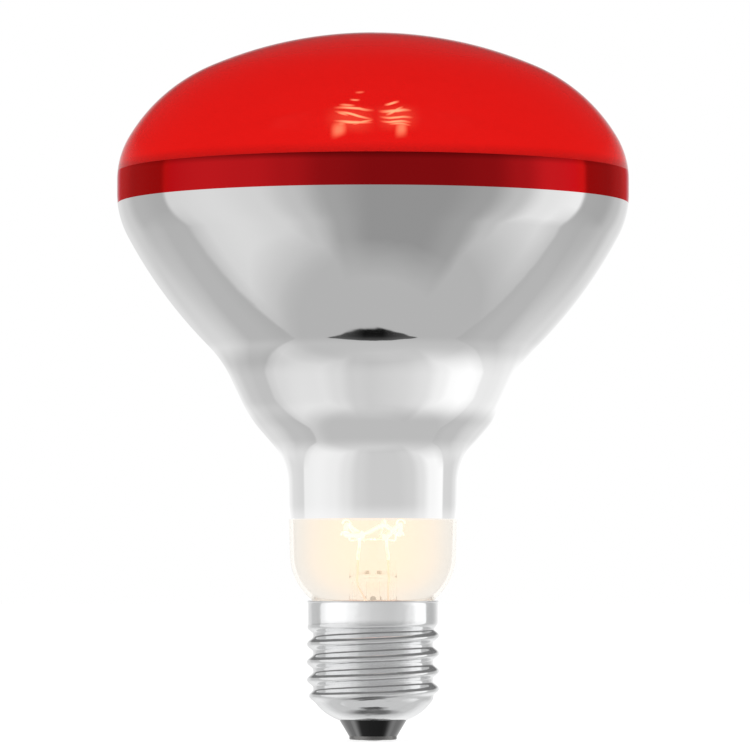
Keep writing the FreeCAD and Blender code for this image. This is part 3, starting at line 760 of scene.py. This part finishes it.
shade_y = math_node(n, l, "MULTIPLY_ADD", curved, SHADE_CURVE)
l.new(look_y, shade_y.node.inputs[2])
shade = math_node(n, l, "MULTIPLY", spread(n, l, shade_y, 0.0, 1.0, 0.03, 0.16, soft=True),
                  spread(n, l, shade_y, 1.0, 0.0, 0.24, 0.46, soft=True))
shade = math_node(n, l, "MULTIPLY", shade, spread(n, l, sideways, 1.0, 0.0, 0.16, SHADE_SIDE, soft=True))
room = blend_level(room, SHADE, math_node(n, l, "MULTIPLY", shade, under_lamp))

# %% The dark ceiling, and who sees what
HIGH_GREY = 0.13
room = blend_level(room, HIGH_GREY, spread(n, l, look_z, 0.0, 1.0, 0.12, 0.3))


def background(level):
    """A Background node with an even level, or with the room's colour for a socket."""
    node = n.new("ShaderNodeBackground")
    if isinstance(level, float):
        node.inputs["Color"].default_value = (1, 1, 1, 1)
        node.inputs["Strength"].default_value = level
    else:
        l.new(level, node.inputs["Color"])
    return node.outputs[0]


def either(factor, first, second):
    """The first shader where factor is 0, the second where it is 1."""
    mix = n.new("ShaderNodeMixShader")
    l.new(factor, mix.inputs["Fac"])
    l.new(first, mix.inputs[1])
    l.new(second, mix.inputs[2])
    return mix.outputs[0]


ray = n.new("ShaderNodeLightPath")
seen = math_node(n, l, "MAXIMUM", ray.outputs["Is Camera Ray"], ray.outputs["Is Transmission Ray"])
unseen = either(ray.outputs["Is Glossy Ray"], background(0.7), background(room))
out = n.new("ShaderNodeOutputWorld")
l.new(either(seen, unseen, background(1.0)), out.inputs["Surface"])

# %% Soft lights
def soft_light(name, place, aim, size, power):
    """A large area light that reflections and glass don't show."""
    lamp = bpy.data.lights.new(name, "AREA")
    lamp.shape = "RECTANGLE"
    lamp.size, lamp.size_y = size
    lamp.energy = power
    thing = bpy.data.objects.new(name, lamp)
    thing.location = place
    thing.rotation_euler = (Vector(aim) - Vector(place)).to_track_quat("-Z", "Y").to_euler()
    thing.visible_glossy = False
    thing.visible_transmission = False
    bpy.context.scene.collection.objects.link(thing)
    return thing


LAMP_MIDDLE = (0, 0, 0.08)
soft_light("left_light", place=(-0.8, -0.7, 0.35), aim=LAMP_MIDDLE, size=(0.5, 0.9), power=6.0)
soft_light("right_light", place=(0.8, -0.6, 0.35), aim=LAMP_MIDDLE, size=(0.4, 0.9), power=5.0)

# %% [markdown]
# The camera stands about a metre away and low, level with the cap's rim, so the lacquer's edge curves
# upwards. It looks up a little, at the middle of the lamp.

# %% Camera
CAMERA_X, CAMERA_DISTANCE, CAMERA_HEIGHT, AIM_HEIGHT = 0.0004, 1.09, 0.0294, 0.07485
LENS = 255.6
camera_data = bpy.data.cameras.new("camera")
camera_data.sensor_width = 36.0
camera_data.lens = LENS
camera_data.clip_start, camera_data.clip_end = 0.01, 20.0
camera = bpy.data.objects.new("camera", camera_data)
camera.location = (CAMERA_X, -CAMERA_DISTANCE, CAMERA_HEIGHT)
aim = Vector((CAMERA_X, 0, AIM_HEIGHT))
camera.rotation_euler = (aim - camera.location).to_track_quat("-Z", "Y").to_euler()
bpy.context.scene.collection.objects.link(camera)
bpy.context.scene.camera = camera
bpy.context.scene.view_settings.view_transform = "Standard"
